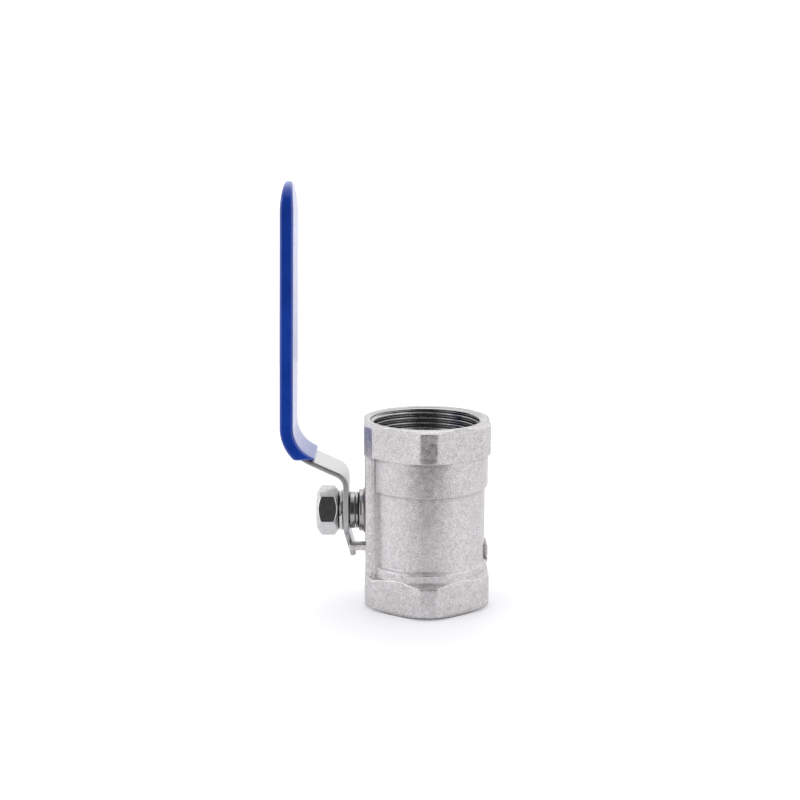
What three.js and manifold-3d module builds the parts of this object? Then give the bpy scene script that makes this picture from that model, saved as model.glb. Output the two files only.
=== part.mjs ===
// Reduced-port one-piece ball valve with a threaded socket at each end and a bent strap lever.
// Units are millimetres. The flow axis is Z, the valve stands on its lower end face at Z = 0,
// and the stem points along -X. The model is in the open position: ball bore and lever along Z.
// Every piece is drawn round the flow axis at X = 0; the finished assembly is then moved along X.

import * as THREE from 'three';
import { mergeVertices } from 'three/addons/utils/BufferGeometryUtils.js';
import Module from 'manifold-3d';

const wasm = await Module();
wasm.setup();

// ---------------------------------------------------------------- driving dimensions

const gap = 0.3;                  // clearance between neighbouring pieces
const round = 48;                 // sides of a large turned surface
const fine = 32;                  // sides of a small turned surface

// body
const bodyHeight = 80;
const acrossFlats = 53;
const acrossCorners = 57.2;       // the six corners are machined off to narrow flats
const chamferRadius = 27.5;       // where the end chamfers leave the end faces
const chamferDrop = 1.1;
const shoulderRadius = 26.3;      // where the chamfers beside the barrel start
const lowerShoulderDrop = 1.3;
const upperShoulderDrop = 0.9;
const lowerHexTop = 15;
const upperHexBottom = 65.6;
const hexOverlap = 2;             // how far the barrel's profiles run into the hexagonal ends
const flangeRadius = 26.4;
const flangeTop = 18.4;
const barrelRadius = 25.2;
const barrelBottom = 19.9;
const bandRadius = 26.4;
const bandBottom = 51.2;
const bandEdge = 0.7;
const plaqueFace = 26.4;
const plaqueTop = 25.2;
const plaqueHalfWidth = 5;
const mouthRadius = 24.4;         // chamfered mouth of each threaded socket
const socketRadius = 23.1;        // mean radius of the pipe thread
const socketDepth = 17.5;

// ball, seats and waterway
const stemZ = 39.5;               // height of the stem axis and of the ball centre
const ballRadius = 18.5;
const portRadius = 12;
const seatOuter = 17.6;
const seatInner = 12.4;
const seatBack = 15.7;            // distance of a seat's back face from the ball centre
const seatLip = 9.2;              // distance of a seat's front edge from the ball centre
const chamberRadius = 19;
const chamberTop = 50.3;
const retainerRadius = 21;
const retainerTop = 62;
const gasketThickness = 0.8;

// stem, measured outwards from the flow axis
const slotFloor = 14;
const slotHalf = 4.1;
const stemRadius = 5.9;
const stemFlatHalf = 4.4;         // half the distance across the two flats
const collarRadius = 7.9;
const collarStart = 18.9;
const collarEnd = 21;
const thrustEnd = 22.5;
const webStart = 22.8;
const webEnd = 24.2;
const packingCount = 3;
const packingThickness = 1;
const packingBore = 7.7;
const bossEnd = 29;
const bossRadius = 9.05;
const bossFoot = 10.6;
const padFace = 26.2;
const padHalfWidth = 12.3;
const padCorner = 1.4;
const padStepFace = 22.7;
const padStepHalfWidth = 15.6;
const padStepCorner = 0.8;
const flatsStart = 32.6;
const stemEnd = 46.6;

// pieces outside the boss
const glandFlange = 1;
const glandRadius = 7.9;
const spacerThickness = 2.3;
const leverFace = 33.2;           // side of the lever that faces the body
const strapThickness = 2.2;
const washerThickness = 1.4;
const washerRadius = 8.7;
const nutHeight = 9.6;
const nutFlats = 18.5;
const nutTurn = 18;               // degrees that the nut's front flat looks upwards

// lever
const strapHalfWidth = 11.4;
const tailHalfWidth = 6.8;
const tailEnd = 21.1;
const coatThickness = 1.65;
const leverTop = 178.8;
const leverBendX = -58.85;        // where the sloping stretch meets the upright grip
const leverBendZ = 67.75;
const leverLean = 0.021;          // how far the grip leans towards the body, per millimetre of height
const coatEnd = 64.7;             // level to which the handle was dipped

// stop lug on the pad: it holds the tail when the valve is open and the strap's edge when it is shut
const lugReach = 33;
const lugTop = stemZ - strapHalfWidth - 0.4;
const lugThickness = 2.5;
const lugLength = 5.5;
const lugEdge = tailHalfWidth + 0.2;

// ---------------------------------------------------------------- colours

const metal = (color, roughness) => new THREE.MeshStandardMaterial({ color, roughness, metalness: 1 });
const plastic = (color, roughness) => new THREE.MeshStandardMaterial({ color, roughness, metalness: 0 });

// ---------------------------------------------------------------- geometry helpers

// a closed three.js geometry as a manifold solid
function solid(geometry) {
  const bare = geometry.clone();
  bare.deleteAttribute('normal');
  bare.deleteAttribute('uv');
  const merged = mergeVertices(bare, 1e-4);
  return new wasm.Manifold(new wasm.Mesh({
    numProp: 3,
    vertProperties: new Float32Array(merged.attributes.position.array),
    triVerts: new Uint32Array(merged.index.array),
  }));
}

// a manifold solid as a three.js geometry
function geometryOf(manifold) {
  const mesh = manifold.getMesh();
  const geometry = new THREE.BufferGeometry();
  geometry.setAttribute('position', new THREE.BufferAttribute(mesh.vertProperties, 3));
  geometry.setIndex(new THREE.BufferAttribute(mesh.triVerts, 1));
  geometry.computeVertexNormals();
  return geometry;
}

// a profile of [radius, height] points turned about Z; the profile closes on itself
function turnedZ(profile, sides) {
  const points = [...profile, profile[0]].map(([r, z]) => new THREE.Vector2(r, z));
  return solid(new THREE.LatheGeometry(points, sides).rotateX(Math.PI / 2));
}

// a profile of [radius, distance] points turned about the stem axis, distance running along -X
function turnedStem(profile, sides) {
  const points = [...profile, profile[0]].map(([r, s]) => new THREE.Vector2(r, s));
  const geometry = new THREE.LatheGeometry(points, sides).rotateZ(Math.PI / 2);
  return solid(geometry.translate(0, 0, stemZ));
}

// a plain rod on the stem axis
function rodOnStem(radius, start, end) {
  return turnedStem([[0, start], [radius, start], [radius, end], [0, end]], fine);
}

// a washer on the stem axis between two distances from the flow axis
function ringOnStem(inner, outer, start, end) {
  return turnedStem([[inner, start], [outer, start], [outer, end], [inner, end]], fine);
}

function block(xMin, xMax, yMin, yMax, zMin, zMax) {
  const box = new THREE.BoxGeometry(xMax - xMin, yMax - yMin, zMax - zMin);
  return solid(box.translate((xMin + xMax) / 2, (yMin + yMax) / 2, (zMin + zMax) / 2));
}

// an outline in the XY plane, extruded from one height to another
function extrudedZ(shape, bottom, top) {
  const depth = top - bottom;
  const geometry = new THREE.ExtrudeGeometry(shape, { depth, bevelEnabled: false, curveSegments: 6 });
  return solid(geometry.translate(0, 0, bottom));
}

// an outline of [Y, Z] points, extruded along X
function extrudedX(shape, xMin, xMax) {
  const depth = xMax - xMin;
  const geometry = new THREE.ExtrudeGeometry(shape, { depth, bevelEnabled: false, curveSegments: 10 });
  const axes = new THREE.Matrix4().makeBasis(
    new THREE.Vector3(0, 1, 0),
    new THREE.Vector3(0, 0, 1),
    new THREE.Vector3(1, 0, 0),
  );
  return solid(geometry.applyMatrix4(axes).translate(xMin, 0, 0));
}

// an outline of [X, Z] points, extruded across the whole width in Y
function extrudedY(shape, halfWidth) {
  const geometry = new THREE.ExtrudeGeometry(shape, { depth: 2 * halfWidth, bevelEnabled: false });
  return solid(geometry.rotateX(Math.PI / 2).translate(0, halfWidth, 0));
}

// a regular polygon whose flats lie at the given distance from its centre
function polygon(sides, flatDistance, turn) {
  const points = [];
  const radius = flatDistance / Math.cos(Math.PI / sides);
  for (let i = 0; i < sides; i += 1) {
    const angle = turn + ((2 * i + 1) * Math.PI) / sides;
    points.push(new THREE.Vector2(radius * Math.cos(angle), radius * Math.sin(angle)));
  }
  return new THREE.Shape(points);
}

function roundedBlock(halfWidth, depth, cornerRadius) {
  const shape = new THREE.Shape();
  shape.moveTo(0, -halfWidth);
  shape.lineTo(0, halfWidth);
  shape.lineTo(-depth + cornerRadius, halfWidth);
  shape.absarc(-depth + cornerRadius, halfWidth - cornerRadius, cornerRadius, Math.PI / 2, Math.PI, false);
  shape.absarc(-depth + cornerRadius, -halfWidth + cornerRadius, cornerRadius, Math.PI, 1.5 * Math.PI, false);
  return shape;
}

// ---------------------------------------------------------------- housing

// one hexagonal end: six wide flats, six narrow flats, and a chamfer above and below;
// a chamfer is [start radius, drop at the narrow flats]
function hexEnd(bottom, top, lowerChamfer, upperChamfer) {
  const wide = extrudedZ(polygon(6, acrossFlats / 2, 0), bottom, top);
  const narrow = extrudedZ(polygon(6, acrossCorners / 2, Math.PI / 6), bottom, top);
  const outerRadius = acrossCorners / 2 + 1;
  const fall = ([start, drop]) => (drop * (outerRadius - start)) / (acrossCorners / 2 - start);
  const envelope = turnedZ([
    [0, bottom],
    [lowerChamfer[0], bottom],
    [outerRadius, bottom + fall(lowerChamfer)],
    [outerRadius, top - fall(upperChamfer)],
    [upperChamfer[0], top],
    [0, top],
  ], round);
  return wide.intersect(narrow).intersect(envelope);
}

function valveBody() {
  const endChamfer = [chamferRadius, chamferDrop];
  const lowerHex = hexEnd(0, lowerHexTop, endChamfer, [shoulderRadius, lowerShoulderDrop]);
  const upperHex = hexEnd(upperHexBottom, bodyHeight, [shoulderRadius, upperShoulderDrop], endChamfer);
  const middleBottom = lowerHexTop - hexOverlap;
  const middleTop = upperHexBottom + hexOverlap;
  const barrel = turnedZ([
    [0, middleBottom],
    [flangeRadius, middleBottom],
    [flangeRadius, flangeTop],
    [barrelRadius, barrelBottom],
    [barrelRadius, bandBottom],
    [bandRadius, bandBottom + bandEdge],
    [bandRadius, middleTop],
    [0, middleTop],
  ], round);
  const stemPad = extrudedZ(roundedBlock(padHalfWidth, padFace, padCorner), middleBottom, middleTop);
  const padStepOutline = roundedBlock(padStepHalfWidth, padStepFace, padStepCorner);
  const padStep = extrudedZ(padStepOutline, middleBottom, middleTop);
  const boss = turnedStem([
    [0, padFace - 2],
    [bossFoot, padFace - 2],
    [bossFoot, padFace],
    [bossRadius + 0.3, padFace + 0.8],
    [bossRadius, padFace + 1.2],
    [bossRadius, bossEnd - 0.8],
    [bossRadius - 0.7, bossEnd],
    [0, bossEnd],
  ], fine);
  const lugFoot = -padFace + 1;
  const stopLug = block(-lugReach, lugFoot, -lugEdge - lugLength, -lugEdge, lugTop - lugThickness, lugTop);
  const plaqueFoot = barrelRadius - 2;
  const plaque = block(plaqueFoot, plaqueFace, -plaqueHalfWidth, plaqueHalfWidth, flangeTop - 1, plaqueTop);

  const outside = wasm.Manifold.union([lowerHex, upperHex, barrel, stemPad, padStep, boss, stopLug, plaque]);

  const pocketRadius = seatOuter + gap;
  const pocketFloor = stemZ - seatBack - gap;
  const retainerSeat = retainerRadius + gap;
  const waterway = turnedZ([
    [0, -1],
    [mouthRadius + 1, -1],
    [socketRadius, mouthRadius - socketRadius],
    [socketRadius, socketDepth],
    [portRadius + 0.2, socketDepth],
    [portRadius + 0.2, pocketFloor],
    [pocketRadius, pocketFloor],
    [pocketRadius, stemZ - seatLip],
    [chamberRadius, stemZ - seatLip],
    [chamberRadius, chamberTop],
    [retainerSeat, chamberTop],
    [retainerSeat, bodyHeight - socketDepth],
    [socketRadius, bodyHeight - socketDepth],
    [socketRadius, bodyHeight - mouthRadius + socketRadius],
    [mouthRadius + 1, bodyHeight + 1],
    [0, bodyHeight + 1],
  ], round);
  const stemBore = turnedStem([
    [0, chamberRadius - 3],
    [collarRadius + 0.4, chamberRadius - 3],
    [collarRadius + 0.4, webStart],
    [stemRadius + gap, webStart],
    [stemRadius + gap, webEnd],
    [packingBore, webEnd],
    [packingBore, bossEnd + 1],
    [0, bossEnd + 1],
  ], fine);
  return outside.subtract(waterway).subtract(stemBore);
}

// ---------------------------------------------------------------- ball and seats

function ball() {
  const globe = new THREE.SphereGeometry(ballRadius, fine, fine / 2);
  const sphere = solid(globe.rotateX(Math.PI / 2).translate(0, 0, stemZ));
  const port = turnedZ([
    [0, stemZ - ballRadius - 1],
    [portRadius, stemZ - ballRadius - 1],
    [portRadius, stemZ + ballRadius + 1],
    [0, stemZ + ballRadius + 1],
  ], fine);
  const slotTop = stemZ + slotHalf;
  const slot = block(-ballRadius - 1, -slotFloor, -ballRadius, ballRadius, slotTop - 2 * slotHalf, slotTop);
  return sphere.subtract(port).subtract(slot);
}

// a seat ring; side is 1 above the ball and -1 below it
function seatRing(side) {
  const sealRadius = ballRadius + gap;
  const startAngle = Math.asin(seatLip / sealRadius);
  const endAngle = Math.acos(seatInner / sealRadius);
  const steps = 4;
  const profile = [[seatInner, seatBack], [seatOuter, seatBack], [seatOuter, seatLip]];
  for (let i = 0; i <= steps; i += 1) {
    const angle = startAngle + ((endAngle - startAngle) * i) / steps;
    profile.push([sealRadius * Math.cos(angle), sealRadius * Math.sin(angle)]);
  }
  const placed = profile.map(([r, z]) => [r, stemZ + side * z]);
  return turnedZ(side > 0 ? placed.reverse() : placed, fine);
}

const retainerBottom = chamberTop + 2 * gap + gasketThickness;
const retainerBore = portRadius + 0.2;
const retainerChamfer = 1.5;
const keySlotHalf = 2;
const keySlotDepth = 2.5;

// the threaded ring that is screwed down on the upper seat, with four key slots
function seatRetainer() {
  const ring = turnedZ([
    [retainerBore, stemZ + seatBack + gap],
    [seatOuter + gap, stemZ + seatBack + gap],
    [seatOuter + gap, retainerBottom],
    [retainerRadius, retainerBottom],
    [retainerRadius, retainerTop],
    [retainerBore + retainerChamfer, retainerTop],
    [retainerBore, retainerTop - retainerChamfer],
  ], round);
  const reach = portRadius + 5;
  const slotBottom = retainerTop - keySlotDepth;
  const slotAlongX = block(-reach, reach, -keySlotHalf, keySlotHalf, slotBottom, retainerTop + 1);
  const slotAlongY = block(-keySlotHalf, keySlotHalf, -reach, reach, slotBottom, retainerTop + 1);
  return ring.subtract(slotAlongX).subtract(slotAlongY);
}

function retainerGasket() {
  const bottom = chamberTop + gap;
  const top = bottom + gasketThickness;
  return turnedZ([[chamberRadius + gap, bottom], [retainerRadius - 0.1, bottom],
    [retainerRadius - 0.1, top], [chamberRadius + gap, top]], round);
}

// ---------------------------------------------------------------- stem and its seals

// keeps only what lies between the stem's two flats
const betweenFlats = (start, end, half) => block(-end, -start, -half, half, stemZ - 20, stemZ + 20);

function stem() {
  const tang = rodOnStem(collarRadius - 0.4, slotFloor + gap, collarStart + 0.5)
    .intersect(block(-collarEnd, -slotFloor, -12, 12, stemZ - slotHalf + gap, stemZ + slotHalf - gap));
  const shaft = turnedStem([
    [0, collarStart],
    [collarRadius, collarStart],
    [collarRadius, collarEnd],
    [stemRadius, collarEnd],
    [stemRadius, flatsStart + 0.5],
    [0, flatsStart + 0.5],
  ], fine);
  const end = turnedStem([
    [0, flatsStart],
    [stemRadius, flatsStart],
    [stemRadius, stemEnd - 1],
    [stemRadius - 1, stemEnd],
    [0, stemEnd],
  ], fine).intersect(betweenFlats(flatsStart, stemEnd + 1, stemFlatHalf));
  return tang.add(shaft).add(end);
}

function thrustWasher() {
  return ringOnStem(stemRadius + gap, collarRadius, collarEnd + gap, thrustEnd);
}

function packingRing(index) {
  const start = webEnd + gap + index * (packingThickness + gap);
  return ringOnStem(stemRadius + gap, packingBore - gap, start, start + packingThickness);
}

function packingGland() {
  const inner = stemRadius + gap;
  const start = webEnd + gap + packingCount * (packingThickness + gap);
  const flange = bossEnd + gap;
  return turnedStem([
    [inner, start],
    [packingBore - gap, start],
    [packingBore - gap, flange],
    [glandRadius, flange],
    [glandRadius, flange + glandFlange],
    [inner, flange + glandFlange],
  ], fine);
}

function spacerWasher() {
  const start = bossEnd + glandFlange + 2 * gap;
  return ringOnStem(stemRadius + gap, glandRadius, start, start + spacerThickness);
}

// ---------------------------------------------------------------- lever

// a polyline whose inner corners are rounded; each corner is [x, z, radius]
function roundedLine(corners, stepsPerCorner) {
  const points = [];
  corners.forEach(([x, z, radius], i) => {
    const here = new THREE.Vector2(x, z);
    if (radius === 0) {
      points.push(here);
      return;
    }
    const back = new THREE.Vector2(...corners[i - 1].slice(0, 2)).sub(here).normalize();
    const ahead = new THREE.Vector2(...corners[i + 1].slice(0, 2)).sub(here).normalize();
    const half = Math.acos(THREE.MathUtils.clamp(back.dot(ahead), -1, 1)) / 2;
    const centre = back.clone().add(ahead).normalize().multiplyScalar(radius / Math.sin(half)).add(here);
    const from = back.clone().multiplyScalar(radius / Math.tan(half)).add(here).sub(centre);
    const to = ahead.clone().multiplyScalar(radius / Math.tan(half)).add(here).sub(centre);
    const sweep = Math.atan2(from.cross(to), from.dot(to));
    for (let k = 0; k <= stepsPerCorner; k += 1) {
      points.push(from.clone().rotateAround(new THREE.Vector2(), (sweep * k) / stepsPerCorner).add(centre));
    }
  });
  return points;
}

const strapX = -(leverFace + strapThickness / 2);
const leverCorners = (top) => [
  [-31.4, tailEnd, 0],
  [strapX, 31.6, 2],
  [strapX, 56.2, 6],
  [leverBendX, leverBendZ, 16.2],
  [leverBendX + leverLean * (top - leverBendZ), top, 0],
];

// the bent strap, seen from the side, with a given thickness
function bentStrip(thickness, top) {
  const line = roundedLine(leverCorners(top), 6);
  const near = [];
  const far = [];
  line.forEach((point, i) => {
    const before = line[Math.max(i - 1, 0)];
    const after = line[Math.min(i + 1, line.length - 1)];
    const along = after.clone().sub(before).normalize();
    const side = new THREE.Vector2(along.y, -along.x).multiplyScalar(thickness / 2);
    near.push(point.clone().add(side));
    far.push(point.clone().sub(side));
  });
  return extrudedY(new THREE.Shape([...near, ...far.reverse()]), 20);
}

// the strap's outline seen along the stem, with a round top and a narrow tail
function strapOutline(halfWidth, top) {
  const shape = new THREE.Shape();
  shape.moveTo(-tailHalfWidth, tailEnd - 1);
  shape.lineTo(tailHalfWidth, tailEnd - 1);
  shape.lineTo(tailHalfWidth, stemZ - 8.5);
  shape.quadraticCurveTo(halfWidth, stemZ - 7, halfWidth, stemZ - 1);
  shape.lineTo(halfWidth, top - halfWidth);
  shape.absarc(0, top - halfWidth, halfWidth, 0, Math.PI, false);
  shape.lineTo(-halfWidth, stemZ - 1);
  shape.quadraticCurveTo(-halfWidth, stemZ - 7, -tailHalfWidth, stemZ - 8.5);
  return shape;
}

function strapSolid(thickness, halfWidth, top) {
  return bentStrip(thickness, top).intersect(extrudedX(strapOutline(halfWidth, top), -80, -20));
}

function lever() {
  const strap = strapSolid(strapThickness, strapHalfWidth, leverTop - coatThickness);
  const hole = rodOnStem(stemRadius + gap, leverFace - 2, leverFace + strapThickness + 2)
    .intersect(betweenFlats(leverFace - 2, leverFace + strapThickness + 2, stemFlatHalf + gap));
  return strap.subtract(hole);
}

function leverSleeve() {
  const above = block(-80, -20, -20, 20, coatEnd, leverTop + 5);
  const outer = strapSolid(strapThickness + 2 * coatThickness, strapHalfWidth + coatThickness, leverTop);
  const pocket = strapSolid(strapThickness + 2 * gap, strapHalfWidth + gap, leverTop - coatThickness + gap);
  return outer.intersect(above).subtract(pocket);
}

// ---------------------------------------------------------------- washer and nut on the lever

const washerStart = leverFace + strapThickness + gap;
const nutStart = washerStart + washerThickness + gap;

function lockWasher() {
  const ring = ringOnStem(stemRadius + gap, washerRadius, washerStart, washerStart + washerThickness);
  const split = block(-0.6, 0.6, -washerRadius - 1, -stemRadius + 1, -5, 5);
  const turned = split.rotate([0, 35, 0]).translate([-washerStart - washerThickness / 2, 0, stemZ + 1]);
  return ring.subtract(turned);
}

function handleNut() {
  const nutEnd = nutStart + nutHeight;
  const faceRadius = nutFlats / 2;
  const cornerRadius = nutFlats / Math.sqrt(3) + 0.1;
  const drop = 0.8;
  const turn = -THREE.MathUtils.degToRad(nutTurn);
  const prism = extrudedX(polygon(6, nutFlats / 2, turn), -nutEnd, -nutStart).translate([0, 0, stemZ]);
  const envelope = turnedStem([
    [stemRadius + gap, nutStart],
    [faceRadius, nutStart],
    [cornerRadius, nutStart + drop],
    [cornerRadius, nutEnd - drop],
    [faceRadius, nutEnd],
    [stemRadius + gap, nutEnd],
  ], fine);
  return prism.intersect(envelope);
}

// ---------------------------------------------------------------- assembly

const castSteel = 0xc9c6c2;
const turnedSteel = 0xd2d1cf;
const ptfe = 0xf1efe8;

const pieces = [
  ['valve_body', valveBody(), metal(castSteel, 0.42)],
  ['seat_retainer', seatRetainer(), metal(turnedSteel, 0.3)],
  ['retainer_gasket', retainerGasket(), plastic(ptfe, 0.5)],
  ['ball', ball(), metal(0xdedede, 0.08)],
  ['seat_ring_lower', seatRing(-1), plastic(ptfe, 0.45)],
  ['seat_ring_upper', seatRing(1), plastic(ptfe, 0.45)],
  ['stem', stem(), metal(turnedSteel, 0.28)],
  ['stem_thrust_washer', thrustWasher(), plastic(ptfe, 0.5)],
  ['packing_ring_inner', packingRing(0), plastic(ptfe, 0.5)],
  ['packing_ring_middle', packingRing(1), plastic(ptfe, 0.5)],
  ['packing_ring_outer', packingRing(2), plastic(ptfe, 0.5)],
  ['packing_gland', packingGland(), metal(0x8d8a86, 0.3)],
  ['spacer_washer', spacerWasher(), metal(0x85827e, 0.3)],
  ['lever', lever(), metal(0xcdcbc8, 0.33)],
  ['lever_sleeve', leverSleeve(), plastic(0x1f3f9c, 0.22)],
  ['lock_washer', lockWasher(), metal(0xaaa8a4, 0.35)],
  ['handle_nut', handleNut(), metal(0xbab8b6, 0.18)],
];

const assembly = new THREE.Group();
for (const [name, manifold, material] of pieces) {
  const mesh = new THREE.Mesh(geometryOf(manifold), material);
  mesh.name = name;
  assembly.add(mesh);
}

// the origin is the centre of the footprint that the whole valve and lever cover
const footprint = new THREE.Box3().setFromObject(assembly);
assembly.position.x = -(footprint.min.x + footprint.max.x) / 2;

export default assembly;
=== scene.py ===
# A screwed-end ball valve with a blue dipped lever, standing on a pale studio floor.
# Shapes are drawn in millimetres round the flow axis: Z is the flow axis, the stem points along -X,
# and "out" is the distance from the flow axis along the stem. add_piece turns them into metres.

import math

import bmesh
import bpy
import numpy as np
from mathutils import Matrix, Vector


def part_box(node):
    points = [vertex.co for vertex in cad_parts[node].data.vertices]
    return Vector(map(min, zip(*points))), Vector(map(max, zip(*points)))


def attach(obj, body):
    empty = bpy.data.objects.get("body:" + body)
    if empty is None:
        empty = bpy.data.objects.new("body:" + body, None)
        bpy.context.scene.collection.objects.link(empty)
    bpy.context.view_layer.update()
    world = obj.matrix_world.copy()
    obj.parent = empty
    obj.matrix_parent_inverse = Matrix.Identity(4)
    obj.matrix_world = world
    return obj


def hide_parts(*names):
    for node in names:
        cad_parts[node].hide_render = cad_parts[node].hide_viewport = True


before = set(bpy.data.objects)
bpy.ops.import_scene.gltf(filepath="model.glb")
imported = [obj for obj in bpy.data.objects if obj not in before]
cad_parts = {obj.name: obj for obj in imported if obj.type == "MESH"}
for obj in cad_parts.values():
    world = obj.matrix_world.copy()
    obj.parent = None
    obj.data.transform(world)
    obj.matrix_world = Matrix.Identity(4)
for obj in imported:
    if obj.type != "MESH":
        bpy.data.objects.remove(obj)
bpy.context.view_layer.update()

# ---------------------------------------------------------------- driving dimensions, mm

MM = 0.001
FLOW_X = sum(corner.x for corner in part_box("retainer_gasket")) / 2 / MM
BODY_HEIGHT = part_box("valve_body")[1].z / MM
STEM_Z = 39.5

# body casting
FLATS = 53.0
CORNERS = 57.2
CHAMFER_RADIUS = 26.7
SHOULDER_RADIUS = 26.3
END_CHAMFER = 1.1
LOWER_HEX_TOP = 15.0
LOWER_HEX_CHAMFER = 1.3
UPPER_HEX_BOTTOM = 65.6
UPPER_HEX_CHAMFER = 0.9
FLANGE_RADIUS = 26.4
FLANGE_TOP = 18.4
BARREL_RADIUS = 25.2
BARREL_BOTTOM = 19.9
BAND_RADIUS = 26.4
BAND_BOTTOM = 51.3
PAD_FACE = 26.2
PAD_HALF = 12.3
PAD_DRAFT = 0.45
STEP_FACE = 22.7
STEP_HALF = 15.6
BOSS_RADIUS = 9.05
BOSS_END = 29.0
LUG_NEAR = 7.0
LUG_FAR = 12.5
LUG_THICKNESS = 2.5
LUG_GAP = 0.4
PLAQUE_HALF = 5.0
PLAQUE_TOP = 25.2

# widths over which the casting's faces blend into each other
HEX_BLEND = 0.15
WALL_BLEND = 0.2
SHOULDER_BLEND = 0.4
FOOT_BLEND = 0.5
BAND_BLEND = 0.1
LEDGE_BLEND = 0.02

# pipe thread and waterway
PITCH = 2.309
THREAD_MAJOR = 23.85
THREAD_MINOR = 22.5
THREAD_START = 0.72
MOUTH_RADIUS = 24.35
SOCKET_DEPTH = 17.5
PORT_RADIUS = 12.0
WATERWAY_RADIUS = 12.2
SEAT_POCKET = 17.9
CHAMBER_RADIUS = 19.0

# ball, seats and retainer
BALL_RADIUS = 18.5
BALL_SLOT_HALF = 4.1
BALL_SLOT_FLOOR = 14
SEAT_INNER = 12.4
SEAT_OUTER = 17.6
SEAT_BACK = 15.7
SEAT_FRONT = 9.2
SEAT_LIP = 13.6
SKIRT_BORE = 17.8
KEY_REACH = 17.0
KEY_HALF = 2.0
KEY_DEPTH = 2.5

# lever and its coat
STRAP = 2.2
STRAP_HALF = 11.4
TAIL_HALF = 6.8
COAT = 1.65
COAT_FIT = 0.05
DIP_LEVEL = 64.7
LEVER_TOP = 178.8
TAIL_X = -31.4
TAIL_LEVEL = 21.1
TAIL_BEND = 31.6
SHOULDER_LEVEL = 31.0
SHOULDER_RISE = 7.5
ROOT_BEND = 56.2
BEND_X = -58.85
BEND_Z = 67.75
LEAN = 0.021

# stem and its bore, as distances out from the flow axis and radii about the stem
STEM_RADIUS = 5.9
STEM_FLAT = 4.4
STEM_PITCH = 1.75
STEM_CORE = STEM_RADIUS - 0.95
STEM_FIT = STEM_RADIUS + 0.15
TANG_HALF = 3.8
TANG_REACH = 7.5
COLLAR_START = 18.9
COLLAR_END = 21.0
COLLAR_RADIUS = 7.9
FLATS_START = 32.4
STEM_THREAD_START = 36.0
COLLAR_ROOM = 8.3
COLLAR_ROOM_START = 16.0
COLLAR_ROOM_END = 22.8
PACKING_FLOOR = 24.2
PACKING_BORE = 7.7
GLAND_SKIRT = 7.4

# nut
NUT_FLATS = 18.5
NUT_TURN = math.radians(18)
NUT_FACE_RADIUS = 8.1
NUT_CHAMFER_SLOPE = 1.3
NUT_RECESS = 7.6
NUT_THREAD_GAP = 0.12


def stem_span(node):
    """How far out along the stem a CAD node starts and ends."""
    low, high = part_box(node)
    return FLOW_X - high.x / MM, FLOW_X - low.x / MM


def outer_radius(node):
    """The outer radius of a CAD node that is turned about the flow axis or the stem."""
    low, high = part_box(node)
    return (high.y - low.y) / 2 / MM


# ---------------------------------------------------------------- mesh building


def soft_min(a, b, width):
    """The lesser of two values, with the crossing rounded over the given width."""
    blend = np.maximum(width - np.abs(a - b), 0.0) / width
    return np.minimum(a, b) - blend**2 * width / 4


def soft_max(a, b, width):
    """The greater of two values, with the crossing rounded over the given width."""
    return -soft_min(-a, -b, width)


def ease(value, start, end):
    """0 before start, 1 after end, and smooth between them."""
    share = np.clip((value - start) / (end - start), 0.0, 1.0)
    return share * share * (3 - 2 * share)


def detail(levels, low, high, coarse, fine, reach):
    """Sample places from low to high, close together near each of the levels."""
    places = [np.linspace(low, high, int(round((high - low) / coarse)) + 1)]
    for level in levels:
        places.append(np.arange(level - reach, level + reach + fine / 2, fine))
    places = np.unique(np.concatenate(places).round(4))
    places = places[(places >= low) & (places <= high)]
    kept = [places[0]]
    for place in places[1:]:
        if place - kept[-1] > fine * 0.7:
            kept.append(place)
    kept[-1] = high
    return np.array(kept)


def grid_faces(rows, columns, closed):
    """Quads of a grid whose columns join up, and whose rows do too when it is closed."""
    quads = []
    for i in range(rows if closed else rows - 1):
        here = i * columns
        above = ((i + 1) % rows) * columns
        for j in range(columns):
            after = (j + 1) % columns
            quads.append((here + j, here + after, above + after, above + j))
    return quads


def new_piece(name, mesh):
    """Puts a mesh into the scene as a piece of its own."""
    piece = bpy.data.objects.new(name, mesh)
    bpy.context.scene.collection.objects.link(piece)
    return piece


def new_mesh(name, build):
    """Turns a finished bmesh into a mesh and frees it."""
    mesh = bpy.data.meshes.new(name)
    build.to_mesh(mesh)
    build.free()
    return mesh


def add_piece(name, points, closed=False, caps=(0, -1)):
    """A piece from a grid of points in millimetres. An open grid gets a flat cap on the rows in caps."""
    rows, columns = points.shape[:2]
    places = (points.reshape(-1, 3) + (FLOW_X, 0, 0)) * MM
    faces = grid_faces(rows, columns, closed)
    for row in () if closed else caps:
        start = row % rows * columns
        faces.append(tuple(range(start, start + columns)))
    mesh = bpy.data.meshes.new(name)
    mesh.from_pydata(places.tolist(), [], faces)
    build = bmesh.new()
    build.from_mesh(mesh)
    bmesh.ops.recalc_face_normals(build, faces=build.faces)
    build.to_mesh(mesh)
    build.free()
    return new_piece(name, mesh)


def rounded_box(name, low, high, radius, segments=3):
    """A block between two corners in millimetres, with every edge rounded."""
    low = np.array(low, float)
    high = np.array(high, float)
    build = bmesh.new()
    bmesh.ops.create_cube(build, size=1.0)
    for vertex in build.verts:
        place = (low + high) / 2 + np.array(vertex.co) * (high - low)
        vertex.co = Vector((place + (FLOW_X, 0, 0)) * MM)
    bmesh.ops.bevel(
        build, geom=build.edges[:], offset=radius * MM, segments=segments, profile=0.5, affect="EDGES"
    )
    return new_piece(name, new_mesh(name, build))


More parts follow.
